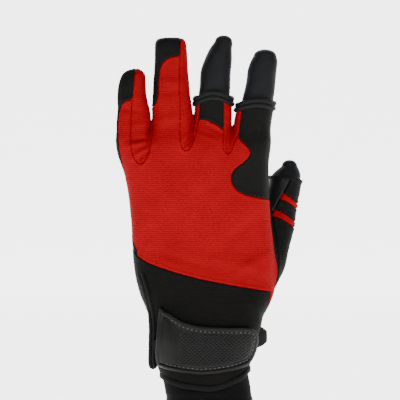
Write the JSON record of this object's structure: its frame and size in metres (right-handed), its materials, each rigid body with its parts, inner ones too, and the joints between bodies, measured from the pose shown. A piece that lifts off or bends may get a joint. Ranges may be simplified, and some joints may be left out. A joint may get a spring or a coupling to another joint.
{
  "type": "sailing glove",
  "caption": "Left sailing glove with two full fingers and three cut ones, a wrist strap, and a thin liner glove showing at the cut fingers and wrist.",
  "frame": {"origin": "centre of the wrist opening, at the lower edge of the liner's sleeve", "axes": "+Z along the hand towards the fingertips, -Y out of the back of the hand, +Y out of the palm, +X towards the thumb"},
  "size_m": [0.1319, 0.0672, 0.2593],
  "materials": {
    "red_fabric": "ribbed stretch knit",
    "black_leather": "matte synthetic suede",
    "cuff_fabric": "smooth stretch fabric",
    "hem_binding": "woven binding tape",
    "liner_fabric": "fine smooth knit",
    "hook_and_loop": "hook-and-loop tape",
    "rubber_strap": "moulded satin rubber"
  },
  "bodies": {
    "hand": {"back_panel": "red_fabric", "cuff_back": "cuff_fabric", "cuff_hem": "hem_binding", "cuff_palm": "cuff_fabric", "cuff_side_gusset": "red_fabric", "finger_base_palms": "black_leather", "fourchette_middle_index": "red_fabric", "fourchette_pinky_ring": "red_fabric", "fourchette_ring_middle": "red_fabric", "index_base_back": "black_leather", "index_hem": "hem_binding", "index_knuckle_panel": "black_leather", "liner_index_base": "liner_fabric", "liner_index_bend": "liner_fabric", "liner_middle_base": "liner_fabric", "liner_middle_bend": "liner_fabric", "liner_palm": "liner_fabric", "liner_pinky_base": "liner_fabric", "liner_ring_base": "liner_fabric", "liner_sleeve": "liner_fabric", "liner_thumb_base": "liner_fabric", "loop_patch": "hook_and_loop", "middle_back_patch": "black_leather", "middle_hem": "hem_binding", "palm_grip_patches": "black_leather", "palm_panel": "black_leather", "pinky_base_back": "red_fabric", "pinky_bend": "red_fabric", "pinky_outer_wall": "black_leather", "pull_loop": "hem_binding", "ring_base_back": "red_fabric", "ring_bend": "red_fabric", "slit_binding": "hem_binding", "strap_bend": "rubber_strap", "thumb_base": "black_leather", "thumb_bend": "black_leather"},
    "pinky_tip": {"pinky_tip_cap": "black_leather", "pinky_tip_inner_side": "red_fabric", "pinky_tip_palm": "black_leather", "liner_pinky_tip": "liner_fabric"},
    "ring_tip": {"ring_back": "red_fabric", "ring_tip_cap": "black_leather", "ring_tip_outer_side": "black_leather", "ring_tip_inner_side": "red_fabric", "ring_tip_palm": "black_leather", "liner_ring_tip": "liner_fabric"},
    "middle_tip": {"liner_middle_tip": "liner_fabric"},
    "index_tip": {"liner_index_tip": "liner_fabric"},
    "thumb_tip": {"thumb_back": "black_leather", "thumb_pad_panel": "black_leather", "thumb_stripes": "red_fabric", "thumb_hem": "hem_binding", "liner_thumb_tip": "liner_fabric"},
    "strap": {"strap_band": "rubber_strap", "strap_rim": "rubber_strap", "strap_patch": "rubber_strap", "hook_pad": "hook_and_loop"}
  },
  "joints": [
    {"name": "pinky_curl", "type": "hinge", "parent": "hand", "child": "pinky_tip", "pos_m": [-0.0551, 0.0008, 0.211], "axis": [-1, 0, 0], "range_deg": [0, 60], "stiffness_Nm_per_rad": 0.02, "deforming": ["pinky_bend"]},
    {"name": "ring_curl", "type": "hinge", "parent": "hand", "child": "ring_tip", "pos_m": [-0.0272, 0.0014, 0.223], "axis": [-1, 0, 0], "range_deg": [0, 65], "stiffness_Nm_per_rad": 0.02, "deforming": ["ring_bend"]},
    {"name": "middle_curl", "type": "hinge", "parent": "hand", "child": "middle_tip", "pos_m": [0.0032, 0.0016, 0.227], "axis": [-0.9945, 0, 0.1045], "range_deg": [0, 70], "stiffness_Nm_per_rad": 0.02, "deforming": ["liner_middle_bend"]},
    {"name": "index_curl", "type": "hinge", "parent": "hand", "child": "index_tip", "pos_m": [0.0347, 0.0014, 0.222], "axis": [-0.9848, 0, 0.1736], "range_deg": [0, 70], "stiffness_Nm_per_rad": 0.02, "deforming": ["liner_index_bend"]},
    {"name": "thumb_curl", "type": "hinge", "parent": "hand", "child": "thumb_tip", "pos_m": [0.0484, 0.0222, 0.132], "axis": [-0.4961, -0.8436, 0.2055], "range_deg": [0, 50], "stiffness_Nm_per_rad": 0.02, "deforming": ["thumb_bend"]},
    {"name": "strap_peel", "type": "hinge", "parent": "hand", "child": "strap", "pos_m": [-0.037, -0.018, 0.039], "axis": [0, 0, -1], "range_deg": [0, 90], "stiffness_Nm_per_rad": 0.02, "deforming": ["strap_bend"]}
  ]
}
